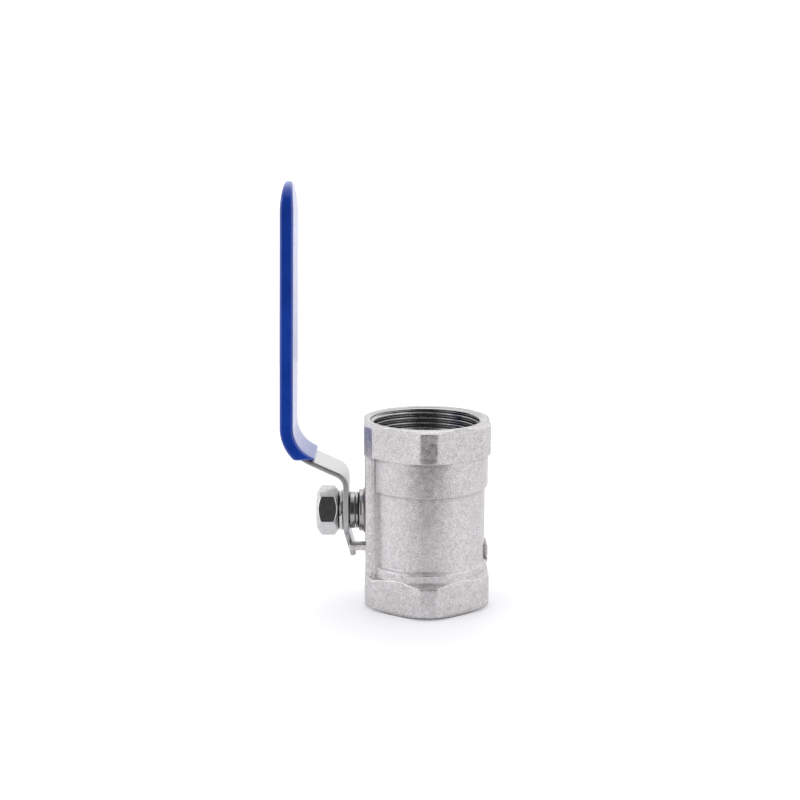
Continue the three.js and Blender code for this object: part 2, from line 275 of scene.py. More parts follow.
def combine(piece, tool, operation):
    """Joins or cuts a piece with another, which is used up."""
    modifier = piece.modifiers.new("combine", "BOOLEAN")
    modifier.operation = operation
    modifier.solver = "MANIFOLD"
    modifier.object = tool
    evaluated = piece.evaluated_get(bpy.context.evaluated_depsgraph_get())
    mesh = bpy.data.meshes.new_from_object(evaluated)
    piece.modifiers.clear()
    piece.data = mesh
    bpy.data.objects.remove(tool)


def around_flow(radii, angles, heights):
    """Grid points from radii about the flow axis; heights has one value a row, or one a point."""
    heights = np.broadcast_to(np.reshape(heights, (len(radii), -1)), radii.shape)
    return np.stack([radii * np.cos(angles), radii * np.sin(angles), heights], axis=-1)


def around_stem(radii, angles, outs):
    """Grid points from radii about the stem axis, at distances out along it."""
    outs = np.broadcast_to(np.reshape(outs, (len(radii), -1)), radii.shape)
    return np.stack([-outs, radii * np.cos(angles), STEM_Z + radii * np.sin(angles)], axis=-1)


def full_turn(count):
    """Evenly spaced angles once round an axis."""
    return np.linspace(0, 2 * math.pi, count, endpoint=False)


def rounded_outline(corners, radius, step=0.9, bend=4):
    """A closed outline through the corners, each rounded, with points no further apart than step."""
    corners = [np.array(corner, float) for corner in corners]
    outline = []
    for i, corner in enumerate(corners):
        back = corners[i - 1] - corner
        ahead = corners[(i + 1) % len(corners)] - corner
        back_length, ahead_length = np.linalg.norm(back), np.linalg.norm(ahead)
        cosine = np.clip(np.dot(back, ahead) / back_length / ahead_length, -0.999, 0.999)
        reach = min(radius / math.tan(math.acos(cosine) / 2), back_length * 0.45, ahead_length * 0.45)
        start = corner + back / back_length * reach
        end = corner + ahead / ahead_length * reach
        for t in np.linspace(0, 1, bend + 1):
            outline.append((1 - t) ** 2 * start + 2 * t * (1 - t) * corner + t**2 * end)
    spread = []
    for i, point in enumerate(outline):
        after = outline[(i + 1) % len(outline)]
        parts = max(1, math.ceil(np.linalg.norm(after - point) / step))
        spread.extend(point + (after - point) * k / parts for k in range(parts))
    return np.array(spread)


def swept(name, profile, around, columns, closed=False):
    """A piece swept about an axis from a profile of points, each [radius, place on the axis]."""
    profile = np.array(profile)
    radii = np.repeat(profile[:, :1], columns, axis=1)
    return add_piece(name, around(radii, full_turn(columns), profile[:, 1]), closed=closed)


def turned(name, corners, radius, around, columns=96, step=0.9):
    """A ring turned about an axis from the corners of its section, each [radius, place on the axis]."""
    return swept(name, rounded_outline(corners, radius, step), around, columns, closed=True)


def thread(angles, places, pitch, minor, major):
    """Radii of a right-hand thread with rounded crests and roots, one row for each place on the axis."""
    turns = places[:, None] / pitch - angles[None, :] / (2 * math.pi)
    ramp = 1 - 2 * np.abs(2 * (turns % 1.0) - 1)
    flank = np.clip(ramp * 1.35, -1, 1)
    shape = flank * (1.5 - 0.5 * flank**2)
    return minor + (major - minor) * (shape + 1) / 2


def hexagon(angles, flat_distance):
    """Radius of a regular hexagon with one flat centred on angle 0."""
    return flat_distance / np.cos((angles + math.pi / 6) % (math.pi / 3) - math.pi / 6)


# ---------------------------------------------------------------- valve body


def hex_end(angles, heights):
    """The plan of a hexagonal end, with its corners machined to narrow flats."""
    wide = hexagon(angles, FLATS / 2)
    narrow = hexagon(angles + math.pi / 6, CORNERS / 2)
    plan = soft_min(wide, narrow, HEX_BLEND)
    return np.broadcast_to(plan, (len(heights), len(angles)))


def cone(heights, level, drop, start, facing):
    """Radius limit of a chamfer that starts at a level and faces up, 1, or down, -1."""
    slope = (CORNERS / 2 - start) / drop
    return (start + facing * (level - heights) * slope)[:, None]


def pad_outline(angles, face, half, corner, draft=0.0):
    """Radius of a flat-faced pad on the stem side, and 0 elsewhere; draft widens it towards its foot."""
    toward = np.maximum(-np.cos(angles), 1e-3)
    sideways = np.maximum(np.abs(np.sin(angles)), 1e-3)
    side = (half + face * draft) / (sideways + toward * draft)
    return np.where(toward > 0.5, soft_min(face / toward, side, corner), 0)


def casting(angles, heights):
    """Radius of the casting's outside at each height and angle."""
    z = heights[:, None]
    barrel = BARREL_RADIUS + (FLANGE_RADIUS - BARREL_RADIUS) * (1 - ease(z, FLANGE_TOP, BARREL_BOTTOM))
    barrel = barrel + (BAND_RADIUS - BARREL_RADIUS) * ease(z, BAND_BOTTOM - 0.1, BAND_BOTTOM + 0.45)
    pad = pad_outline(angles, PAD_FACE, PAD_HALF, 1.0, PAD_DRAFT)
    step = pad_outline(angles, STEP_FACE, STEP_HALF, 0.6)
    sides = soft_max(np.broadcast_to(barrel, (len(heights), len(angles))), step, WALL_BLEND)
    sides = soft_max(sides, pad, WALL_BLEND)
    plan = hex_end(angles, heights)
    lower_shoulder = cone(heights, LOWER_HEX_TOP, LOWER_HEX_CHAMFER, SHOULDER_RADIUS, 1)
    lower = soft_min(plan, lower_shoulder, SHOULDER_BLEND)
    filled = np.minimum(soft_max(sides, lower, FOOT_BLEND), plan)
    lower = np.where(z < LOWER_HEX_TOP, filled, lower)
    upper_shoulder = cone(heights, UPPER_HEX_BOTTOM, UPPER_HEX_CHAMFER, SHOULDER_RADIUS, -1)
    upper = soft_min(plan, upper_shoulder, WALL_BLEND)
    outside = soft_max(soft_max(sides, lower, LEDGE_BLEND), upper, BAND_BLEND)
    outside = soft_min(outside, cone(heights, 0, END_CHAMFER, CHAMFER_RADIUS, -1), HEX_BLEND)
    return soft_min(outside, cone(heights, BODY_HEIGHT, END_CHAMFER, CHAMFER_RADIUS, 1), HEX_BLEND)


def body_blank():
    """The casting's outside, sampled more closely across the flats, beside the pad and at each ledge."""
    lean = math.acos(FLATS / CORNERS) * 0.42
    edges = []
    for k in range(6):
        edges += [k * math.pi / 3 + lean, (k + 1) * math.pi / 3 - lean]
    for face, half in ((PAD_FACE, PAD_HALF), (STEP_FACE, STEP_HALF)):
        outer = math.atan2(half, face)
        inner = math.asin(half / BARREL_RADIUS)
        for share in (0, 0.5, 1):
            lean = outer + (inner - outer) * share
            edges += [math.pi - lean, math.pi + lean]
    angles = detail(edges, 0, 2 * math.pi, math.radians(1.2), math.radians(0.3), math.radians(1.2))[:-1]
    levels = [0.5, LOWER_HEX_TOP - 0.7, FLANGE_TOP + 0.7]
    levels += [BAND_BOTTOM + 0.2, UPPER_HEX_BOTTOM + 0.3, BODY_HEIGHT - 0.5]
    heights = detail(levels, 0, BODY_HEIGHT, 1.4, 0.13, 0.75)
    radii = casting(angles, heights)
    radii = np.concatenate([radii[:1] - 0.6, radii, radii[-1:] - 0.6])
    heights = np.concatenate([[0], heights, [BODY_HEIGHT]])
    return add_piece("valve_casting", around_flow(radii, angles, heights))


def socket_radii(angles, depths, heights):
    """Radii of a threaded socket at the given depths below its mouth."""
    cut = thread(angles, heights - THREAD_START, PITCH, THREAD_MINOR, THREAD_MAJOR)
    relief = ease(depths, SOCKET_DEPTH - 2.2, SOCKET_DEPTH - 1.2)[:, None]
    cut = cut * (1 - relief) + THREAD_MAJOR * relief
    mouth = MOUTH_RADIUS - depths - 7 * np.maximum(depths - 0.5, 0)
    return np.maximum(cut, mouth[:, None])


def waterway():
    """The hollow through the body: two threaded sockets, the seat pocket and the ball chamber."""
    angles = full_turn(144)
    depths = np.arange(-0.5, SOCKET_DEPTH - 0.01, PITCH / 12)
    seat_floor, seat_lip = (corner.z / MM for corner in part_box("seat_ring_lower"))
    chamber_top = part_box("retainer_gasket")[0].z / MM - 0.2
    retainer_bore = outer_radius("seat_retainer") + 0.12
    steps = np.array([
        [WATERWAY_RADIUS, SOCKET_DEPTH],
        [WATERWAY_RADIUS, seat_floor - 0.2],
        [SEAT_POCKET, seat_floor - 0.2],
        [SEAT_POCKET, seat_lip],
        [CHAMBER_RADIUS, seat_lip],
        [CHAMBER_RADIUS, chamber_top],
        [retainer_bore, chamber_top],
        [retainer_bore, BODY_HEIGHT - SOCKET_DEPTH],
    ])
    upper = BODY_HEIGHT - depths[::-1]
    radii = np.concatenate([
        socket_radii(angles, depths, depths),
        np.repeat(steps[:, :1], len(angles), axis=1),
        socket_radii(angles, depths[::-1], upper),
    ])
    heights = np.concatenate([depths, steps[:, 1], upper])
    return add_piece("waterway", around_flow(radii, angles, heights))


def boss_blank():
    """The round boss that holds the packing, flared where it leaves the pad."""
    profile = [
        [9.6, PAD_FACE - 1.5],
        [10.9, PAD_FACE - 0.3],
        [10.0, PAD_FACE + 0.25],
        [9.35, PAD_FACE + 0.75],
        [BOSS_RADIUS, PAD_FACE + 1.3],
    ]
    rounding = 0.8
    for lean in np.linspace(0, math.pi / 2, 7):
        radius = BOSS_RADIUS - rounding * (1 - math.cos(lean))
        profile.append([radius, BOSS_END - rounding * (1 - math.sin(lean))])
    return swept("boss", profile, around_stem, 96)


def stem_bore():
    """The hollow through the pad and boss: room for the stem's collar, then the packing's chamber."""
    neck = STEM_RADIUS + 0.2
    mouth = outer_radius("packing_gland") + 0.2
    profile = [
        [COLLAR_ROOM, COLLAR_ROOM_START],
        [COLLAR_ROOM, COLLAR_ROOM_END],
        [neck, COLLAR_ROOM_END],
        [neck, PACKING_FLOOR],
        [PACKING_BORE, PACKING_FLOOR],
        [PACKING_BORE, BOSS_END - 0.35],
        [mouth, BOSS_END + 0.1],
        [mouth + 0.05, BOSS_END + 1],
    ]
    return swept("stem_bore", profile, around_stem, 96)


def valve_casting():
    """The body: its blank, boss, stop lug and plaque, with the waterway and the stem's bore cut out."""
    body = body_blank()
    low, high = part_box("valve_body")
    lug_out = low.x / MM - FLOW_X
    lug_top = STEM_Z - STRAP_HALF - LUG_GAP
    stop_lug = rounded_box(
        "stop_lug",
        (lug_out, -LUG_FAR, lug_top - LUG_THICKNESS),
        (-PAD_FACE + 2, -LUG_NEAR, lug_top),
        0.45,
    )
    plaque = rounded_box(
        "size_plaque",
        (BARREL_RADIUS - 3, -PLAQUE_HALF, FLANGE_TOP - 1),
        (high.x / MM - FLOW_X, PLAQUE_HALF, PLAQUE_TOP),
        0.5,
    )
    for extra in (boss_blank(), stop_lug, plaque):
        combine(body, extra, "UNION")
    combine(body, waterway(), "DIFFERENCE")
    combine(body, stem_bore(), "DIFFERENCE")
    return body


# ---------------------------------------------------------------- ball, seats and seals


def seat_retainer():
    """The threaded ring that holds the upper seat, with four key slots."""
    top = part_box("seat_retainer")[1].z / MM
    reach = outer_radius("seat_retainer")
    bore = WATERWAY_RADIUS
    skirt_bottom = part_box("retainer_gasket")[1].z / MM + 0.15
    seat_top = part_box("seat_ring_upper")[1].z / MM + 0.15
    corners = [
        [bore, seat_top],
        [SKIRT_BORE, seat_top],
        [SKIRT_BORE, skirt_bottom],
        [reach, skirt_bottom],
        [reach, top],
        [bore + 1.6, top],
        [bore, top - 1.6],
    ]
    ring = turned("seat_retainer_ring", corners, 0.3, around_flow, 144)
    for half_x, half_y in ((KEY_REACH, KEY_HALF), (KEY_HALF, KEY_REACH)):
        low = (-half_x, -half_y, top - KEY_DEPTH)
        high = (half_x, half_y, top + 2)
        combine(ring, rounded_box("key_slot", low, high, 0.35), "DIFFERENCE")
    return ring


def polished_ball():
    """The ball with its port, whose edges are broken, and the slot for the stem's tang."""
    edge = math.acos(PORT_RADIUS / BALL_RADIUS) - 0.035
    port_end = BALL_RADIUS * math.sin(edge) - 0.2
    section = [[BALL_RADIUS * math.cos(a), BALL_RADIUS * math.sin(a)] for a in np.linspace(-edge, edge, 61)]
    section += [[PORT_RADIUS + 0.12, port_end + 0.25], [PORT_RADIUS, port_end - 0.25]]
    section += [[PORT_RADIUS, level] for level in np.linspace(port_end - 1.2, 1.2 - port_end, 15)]
    section += [[PORT_RADIUS, 0.25 - port_end], [PORT_RADIUS + 0.12, -0.25 - port_end]]
    section = np.array(section) + (0, STEM_Z)
    ball = swept("polished_ball", section, around_flow, 144, closed=True)
    low = (-20, -20, STEM_Z - BALL_SLOT_HALF)
    high = (-BALL_SLOT_FLOOR, 20, STEM_Z + BALL_SLOT_HALF)
    combine(ball, rounded_box("stem_slot", low, high, 0.4), "DIFFERENCE")
    return ball


def seat_ring(side):
    """A seat ring above the ball for side 1, or below it for side -1."""
    seal = BALL_RADIUS + 0.05
    corners = [[SEAT_INNER, SEAT_BACK], [SEAT_OUTER, SEAT_BACK], [SEAT_OUTER, SEAT_FRONT]]
    for height in np.linspace(SEAT_FRONT, SEAT_LIP, 7):
        corners.append([math.sqrt(seal**2 - height**2), height])
    corners = [[radius, STEM_Z + side * height] for radius, height in corners]
    name = "seat_below_ball" if side < 0 else "seat_above_ball"
    return turned(name, corners, 0.25, around_flow, 120)


def washer(name, node, inner, rounding, around):
    """A flat ring that fills the space of a CAD node."""
    outer = outer_radius(node)
    start, end = stem_span(node)
    if around is around_flow:
        start, end = (corner.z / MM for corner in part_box(node))
    corners = [[inner, start], [outer, start], [outer, end], [inner, end]]
    return turned(name, corners, rounding, around)


def packing_gland():
    """The ring that presses on the packing: a skirt inside the boss and a flange over its mouth."""
    start, end = stem_span("packing_gland")
    reach = outer_radius("packing_gland")
    flange = BOSS_END + 0.3
    corners = [
        [STEM_FIT, start],
        [GLAND_SKIRT, start],
        [GLAND_SKIRT, flange],
        [reach, flange],
        [reach, end],
        [STEM_FIT, end],
    ]
    return turned("gland_ring", corners, 0.25, around_stem)


# ---------------------------------------------------------------- stem


def valve_stem():
    """Tang, collar, shaft and a threaded end with two flats."""
    angles = full_turn(144)
    start, end = stem_span("stem")
    round_row = np.ones(len(angles))
    edge = 0.3
    tang = np.minimum(TANG_REACH, TANG_HALF / np.maximum(np.abs(np.sin(angles)), 1e-6))
    flats = STEM_FLAT / np.maximum(np.abs(np.cos(angles)), 1e-6)
    places = np.arange(STEM_THREAD_START, end - 0.01, STEM_PITCH / 12)
    cut = thread(angles, -places, STEM_PITCH, STEM_CORE, STEM_RADIUS)
    lead_in = (STEM_CORE + end - places)[:, None]
    rows = [
        (start, tang - edge),
        (start + edge, tang),
        (COLLAR_START, tang),
        (COLLAR_START, round_row * (COLLAR_RADIUS - edge)),
        (COLLAR_START + edge, round_row * COLLAR_RADIUS),
        (COLLAR_END - edge, round_row * COLLAR_RADIUS),
        (COLLAR_END, round_row * (COLLAR_RADIUS - edge)),
        (COLLAR_END, round_row * STEM_RADIUS),
        (FLATS_START, round_row * STEM_RADIUS),
        (FLATS_START + 0.2, np.minimum(STEM_RADIUS, flats)),
        *zip(places, np.minimum(np.minimum(cut, lead_in), flats)),
        (end, np.minimum(STEM_CORE, flats)),
    ]
    outs = np.array([out for out, _ in rows])
    radii = np.array([radius for _, radius in rows])
    return add_piece("valve_stem", around_stem(radii, angles, outs))


# ---------------------------------------------------------------- lever


def bent_line(corners, step):
    """Evenly spaced points along a line whose corners are rounded; each corner is [x, z, radius]."""
    line = []
    for i, (x, z, radius) in enumerate(corners):
        here = np.array([x, z])
        if radius == 0:
            line.append(here)
            continue
        back = np.array(corners[i - 1][:2]) - here
        ahead = np.array(corners[i + 1][:2]) - here
        back /= np.linalg.norm(back)
        ahead /= np.linalg.norm(ahead)
        half = math.acos(np.dot(back, ahead)) / 2
        middle = back + ahead
        centre = here + middle / np.linalg.norm(middle) * radius / math.sin(half)
        start = here + back * radius / math.tan(half) - centre
        end = here + ahead * radius / math.tan(half) - centre
        sweep = math.pi - 2 * half
        for share in np.linspace(0, 1, 40):
            mix = (math.sin((1 - share) * sweep) * start + math.sin(share * sweep) * end) / math.sin(sweep)
            line.append(centre + mix)
    line = np.array(line)
    lengths = np.concatenate([[0], np.cumsum(np.linalg.norm(np.diff(line, axis=0), axis=1))])
    even = np.linspace(0, lengths[-1], int(lengths[-1] / step) + 1)
    return np.stack([np.interp(even, lengths, line[:, k]) for k in (0, 1)], axis=-1)


STRAP_X = -(stem_span("lock_washer")[0] - 0.3 - STRAP / 2)
LINE_STEP = 0.1
LEVER_LINE = bent_line(
    [
        [TAIL_X, TAIL_LEVEL, 0],
        [STRAP_X, TAIL_BEND, 2],
        [STRAP_X, ROOT_BEND, 6],
        [BEND_X, BEND_Z, 16.2],
        [BEND_X + LEAN * (LEVER_TOP - BEND_Z), LEVER_TOP, 0],
    ],
    LINE_STEP,
)
LEVER_ALONG = np.gradient(LEVER_LINE, axis=0)
LEVER_ALONG /= np.linalg.norm(LEVER_ALONG, axis=1)[:, None]
LEVER_LENGTHS = np.arange(len(LEVER_LINE)) * LINE_STEP
ROUND_END_LEVEL = LEVER_TOP - COAT - STRAP_HALF


def on_lever(lengths, across, through):
    """Points at lengths along the lever's centre line, across it in Y, and through its thickness."""
    x = np.interp(lengths, LEVER_LENGTHS, LEVER_LINE[:, 0])
    z = np.interp(lengths, LEVER_LENGTHS, LEVER_LINE[:, 1])
    along_x = np.interp(lengths, LEVER_LENGTHS, LEVER_ALONG[:, 0])
    along_z = np.interp(lengths, LEVER_LENGTHS, LEVER_ALONG[:, 1])
    return np.stack([x + along_z * through, across, z - along_x * through], axis=-1)


def length_at(level):
    """How far along the lever's centre line it reaches a height."""
    return np.interp(level, LEVER_LINE[:, 1], LEVER_LENGTHS)


def strip_section(straight, bend):
    """A rounded strip's outline as shares: [across, through, corner across, corner through]."""
    turns = np.linspace(0, math.pi / 2, bend + 1)
    spread = np.linspace(-1, 1, straight + 1)[1:-1]
    outline = [(1, 1, math.cos(a), math.sin(a)) for a in turns]
    outline += [(-share, 1, 0, 1) for share in spread]
    outline += [(-1, 1, -math.sin(a), math.cos(a)) for a in turns]
    outline += [(-1, -1, -math.cos(a), -math.sin(a)) for a in turns]
    outline += [(share, -1, 0, -1) for share in spread]
    outline += [(1, -1, math.sin(a), -math.cos(a)) for a in turns]
    return np.array(outline)


def strip_points(section, lengths, half_width, half_thick, corner, turn):
    """Points of a strip; turn swings the edges round a round end whose centre is at the given length."""
    across, through, corner_across, corner_through = section.T
    reach = across * (half_width - corner) + corner_across * corner
    depth = through * (half_thick - corner) + corner_through * corner
    return on_lever(lengths + np.abs(reach) * np.sin(turn), reach * np.cos(turn), depth + 0 * reach)


def close_tip(piece):
    """Joins the points that meet along the middle of a round end."""
    build = bmesh.new()
    build.from_mesh(piece.data)
    bmesh.ops.remove_doubles(build, verts=build.verts, dist=1e-7)
    bmesh.ops.dissolve_degenerate(build, dist=1e-7, edges=build.edges)
    bmesh.ops.recalc_face_normals(build, faces=build.faces)
    build.to_mesh(piece.data)
    build.free()


def stem_hole():
    """The hole that fits over the stem and its two flats."""
    angles = full_turn(96)
    gap = 0.2
    flats = (STEM_FLAT + gap) / np.maximum(np.abs(np.cos(angles)), 1e-6)
    hole = np.minimum(STEM_RADIUS + gap, flats)
    outs = np.array([-STRAP_X - 3.0, -STRAP_X + 3.0])
    return add_piece("stem_hole", around_stem(np.stack([hole, hole]), angles, outs))


def lever_strap():
    """The bent strap: a narrow tail, shoulders, two bends and a round end inside the sleeve."""
    section = strip_section(12, 4)
    end_centre = length_at(ROUND_END_LEVEL)
    close_levels = [0.3, length_at(SHOULDER_LEVEL) + 0.6, length_at(SHOULDER_LEVEL + 7)]
    lengths = detail(close_levels, 0, end_centre, 0.8, 0.2, 0.8)
    t = np.linspace(0, 1, 30)
    curve_width = TAIL_HALF + (STRAP_HALF - TAIL_HALF) * (1 - (1 - t) ** 2)
    curve_level = SHOULDER_LEVEL + SHOULDER_RISE * (0.4 * t + 0.6 * t**2)
    levels = np.interp(lengths, LEVER_LENGTHS, LEVER_LINE[:, 1])
    half_width = np.interp(levels, curve_level, curve_width)
    half_thick = np.full(len(lengths), STRAP / 2)
    half_width[0] -= 0.3
    half_thick[0] -= 0.3
    swings = np.linspace(0, math.pi / 2, 13)[1:]
    turns = np.concatenate([np.zeros(len(lengths)), swings])
    lengths = np.concatenate([lengths, np.full(len(swings), end_centre)])
    half_width = np.concatenate([half_width, np.full(len(swings), STRAP_HALF)])
    half_thick = np.concatenate([half_thick, np.full(len(swings), STRAP / 2)])
    rows = [values[:, None] for values in (lengths, half_width, half_thick)]
    points = strip_points(section, *rows, 0.4, turns[:, None])
    strap = add_piece("lever_strap", points, caps=(0,))
    close_tip(strap)
    combine(strap, stem_hole(), "DIFFERENCE")
    return strap


def start_at_dip(section, half_thick, corner):
    """The length at which each line of a strip's surface crosses the level it was dipped to."""
    starts = []
    for depth in section[:, 1] * (half_thick - corner) + section[:, 3] * corner:
        levels = LEVER_LINE[:, 1] - LEVER_ALONG[:, 0] * depth
        starts.append(np.interp(DIP_LEVEL, levels, LEVER_LENGTHS))
    return np.array(starts)


def lever_sleeve():
    """Vinyl that the lever was dipped in: a rounded coat with a lip at the dip line and a thinner tip."""
    section = strip_section(10, 9)
    end_centre = length_at(ROUND_END_LEVEL)
    shares = np.concatenate([np.linspace(0, 0.02, 7)[:-1], np.linspace(0.02, 1, 110)])
    swings = np.linspace(0, math.pi / 2, 25)[1:]

    def skin(cover, corner, lip):
        """Rows of one skin of the sleeve, from the dip line to the tip."""
        start = start_at_dip(section, STRAP / 2 + cover - lip, corner)
        lengths = start[None, :] + (end_centre - start)[None, :] * shares[:, None]
        lengths = np.concatenate([lengths, np.full((len(swings), len(section)), end_centre)])
        turn = np.concatenate([np.zeros(len(shares)), swings])[:, None]
        fade = lip * (1 - np.sqrt(1 - (1 - np.clip(shares / 0.01, 0, 1)) ** 2))
        fade = np.concatenate([fade, np.zeros(len(swings))])[:, None]
        wide = (STRAP_HALF + cover) * np.ones_like(lengths) - fade
        thick = (STRAP / 2 + cover) * np.ones_like(lengths) - fade
        past = np.abs(section[:, 0] * (wide - corner) + section[:, 2] * corner) * np.sin(turn)
        thick -= (cover - COAT_FIT) * 0.6 * (past / STRAP_HALF) ** 2
        return strip_points(section, lengths, wide, thick, np.minimum(corner, thick - 0.05), turn)

    inside = skin(COAT_FIT, corner=0.4, lip=0.0)
    outside = skin(COAT, corner=1.15, lip=0.5)
    sleeve = add_piece("lever_dip_sleeve", np.concatenate([inside[::-1], outside]), caps=())
    close_tip(sleeve)
    return sleeve


# ---------------------------------------------------------------- lock washer and nut


def lock_washer():
    """A spring washer, cut through on a slant and sprung a little apart."""
    start, end = stem_span("lock_washer")
    outer = outer_radius("lock_washer")
    inner = STEM_RADIUS + 0.3
    section = rounded_outline([[inner, start], [outer, start], [outer, end], [inner, end]], 0.28, 0.6)
    middle = (start + end) / 2
    split = math.pi - 0.12
    half_gap = 0.05
    spring = 0.12
    share = np.linspace(0, 1, 121)[:, None]
    slant = (section[:, 1] - middle) / (end - start) * 0.28
    angles = split + half_gap + share * 2 * (math.pi - half_gap) + slant
    radii = np.broadcast_to(section[:, 0], angles.shape)
    outs = section[:, 1] + spring * (1 - 2 * share)
    return add_piece("split_lock_washer", around_stem(radii, angles, outs))


def handle_nut():
    """A hexagon nut, chamfered at both ends, with its thread cut through."""
    start, end = stem_span("handle_nut")
    face = math.pi - NUT_TURN
    edges = [(face + math.pi / 6 + k * math.pi / 3) % (2 * math.pi) for k in range(6)]
    angles = detail(edges, 0, 2 * math.pi, math.radians(3), math.radians(0.8), math.radians(4))[:-1]
    outs = detail([start + 0.9, end - 0.9], start, end, 0.7, 0.16, 1.0)
    prism = hexagon(angles - face, NUT_FLATS / 2)
    chamfer = (NUT_FACE_RADIUS + NUT_CHAMFER_SLOPE * np.minimum(outs - start, end - outs))[:, None]
    sides = soft_min(np.broadcast_to(prism, (len(outs), len(angles))), chamfer, 0.35)
    places = np.arange(start + 0.4, end - 0.4, STEM_PITCH / 12)[::-1]
    cut = thread(angles, -places, STEM_PITCH, STEM_CORE + NUT_THREAD_GAP, STEM_RADIUS + NUT_THREAD_GAP)
    opening = (STEM_RADIUS + 0.55 - np.minimum(places - start, end - places))[:, None]
    cut = np.maximum(cut, opening)
    face_edge = np.full((1, len(angles)), NUT_RECESS)
    hole_edge = np.full((1, len(angles)), STEM_RADIUS + 0.6)
    radii = np.concatenate([sides, face_edge, hole_edge, cut, hole_edge, face_edge])
    places = np.concatenate([outs, [end, end], places, [start, start]])
    return add_piece("hex_nut", around_stem(radii, angles, places), closed=True)


# ---------------------------------------------------------------- surface relief


def mark_relief(mesh):
    """Stores how far each vertex stands out on an edge or lies in a hollow, used for edge wear and painted
    highlights on edges, and for casting residue and painted shade in hollows.
    """
    count = len(mesh.vertices)
    places = np.zeros(count * 3)
    mesh.vertices.foreach_get("co", places)
    places = places.reshape(-1, 3) / MM
    normals = np.zeros(count * 3)
    mesh.vertices.foreach_get("normal", normals)
    normals = normals.reshape(-1, 3)
    ends = np.zeros(len(mesh.edges) * 2, int)
    mesh.edges.foreach_get("vertices", ends)
    ends = ends.reshape(-1, 2)
    total = np.zeros(count)
    weight = np.zeros(count) + 1e-9
    for here, there in ((ends[:, 0], ends[:, 1]), (ends[:, 1], ends[:, 0])):
        step = places[there] - places[here]
        length = np.maximum(np.linalg.norm(step, axis=1), 0.02)
        fall = -np.einsum("ij,ij->i", step, normals[here]) / length
        np.add.at(total, here, fall)
        np.add.at(weight, here, length)
    curve = total / weight
    for _ in range(2):
        spread = np.zeros(count)
        members = np.zeros(count) + 1e-9
        for here, there in ((ends[:, 0], ends[:, 1]), (ends[:, 1], ends[:, 0])):
            np.add.at(spread, here, curve[there])
            np.add.at(members, here, 1)
        curve = (curve + spread / members) / 2
    for name, value in (("edge", curve), ("hollow", -curve)):
        attribute = mesh.attributes.new(name, "FLOAT", "POINT")
        attribute.data.foreach_set("value", np.clip(value, 0, 3).astype(np.float32))


# ---------------------------------------------------------------- materials


class Paint:
    """One procedural material. Its patterns are in millimetres from where the stem meets the flow axis."""

    def __init__(self, name, metallic, roughness):
        self.material = bpy.data.materials.new(name)
        self.material.use_nodes = True
        self.tree = self.material.node_tree
        self.shader = self.tree.nodes["Principled BSDF"]
        self.shader.inputs["Metallic"].default_value = metallic
        self.shader.inputs["Roughness"].default_value = roughness
        own = self.add("TexCoord").outputs["Object"]
        self.place = self.add(
            "Mapping", Vector=own, Scale=(1 / MM,) * 3, Location=(-FLOW_X, 0, -STEM_Z)
        ).outputs[0]

    def add(self, kind, settings=(), **inputs):
        """A new node. An input's name has _ for each space, and its value is a number or a socket."""
        node = self.tree.nodes.new("ShaderNode" + kind)
        for name, value in dict(settings).items():
            setattr(node, name, value)
        for name, value in inputs.items():
            self.feed(node.inputs[name.replace("_", " ")], value)
        return node

    def feed(self, socket, value):
        if isinstance(value, bpy.types.NodeSocket):
            self.tree.links.new(value, socket)
        else:
            socket.default_value = value

    def noise(self, scale, stretch=(1, 1, 1), detail=2.0):
        """Noise with about scale features a millimetre, drawn out along the axes stretch makes small."""
        place = self.place
        if stretch != (1, 1, 1):
            place = self.add("Mapping", Vector=place, Scale=stretch).outputs[0]
        return self.add("TexNoise", Vector=place, Scale=scale, Detail=detail).outputs[0]

    def relief(self, name):
        """The "edge" or "hollow" values that mark_relief stored on the mesh."""
        return self.add("Attribute", {"attribute_name": name}).outputs["Fac"]

    def paint_gap_shade(self, base, reach):
        """Paints shade into a colour: darkens it in corners and gaps narrower than about reach millimetres.
        """
        open_sky = self.add("AmbientOcclusion", {"samples": 8}, Distance=reach * MM).outputs["AO"]
        return self.blend(self.span(open_sky, 0.35, 0.93, 0.95, 0.0), base, grey(0.025))

    def calculate(self, operation, *values):
        node = self.add("Math", {"operation": operation})
        for socket, value in zip(node.inputs, values):
            self.feed(socket, value)
        return node.outputs[0]

    def span(self, value, low, high, to_low=0.0, to_high=1.0):
        """Maps low..high to to_low..to_high, and holds it there outside them."""
        node = self.add("MapRange", Value=value, From_Min=low, From_Max=high, To_Min=to_low, To_Max=to_high)
        return node.outputs[0]

    def blend(self, share, first, second):
        """Mixes two colours: the first where share is 0, the second where it is 1."""
        node = self.add("Mix", {"data_type": "RGBA"})
        self.feed(node.inputs[0], share)
        for socket, value in ((node.inputs[6], first), (node.inputs[7], second)):
            self.feed(socket, value if isinstance(value, bpy.types.NodeSocket) else (*value, 1))
        return node.outputs[2]

    def rings(self, axis, scale, distortion):
        """Fine tool marks that run round the flow axis, "Z", or the stem, "X"."""
        settings = {"wave_type": "RINGS", "rings_direction": axis}
        inputs = {"Vector": self.place, "Scale": scale, "Distortion": distortion}
        node = self.add("TexWave", settings, Detail=3.0, Detail_Scale=0.6, **inputs)
        return node.outputs["Fac"]

    def colour(self, value):
        self.feed(self.shader.inputs["Base Color"], value)

    def roughness(self, value):
        self.feed(self.shader.inputs["Roughness"], value)

    def bump(self, height, depth):
        """Raises the surface by up to depth millimetres where height is 1."""
        node = self.add("Bump", Height=height, Distance=depth * MM, Strength=1.0)
        self.feed(self.shader.inputs["Normal"], node.outputs[0])


def grey(value, warmth=0.0):
    """A grey, turned towards red by its warmth."""
    return (value * (1 + warmth), value, value * (1 + warmth / 4))


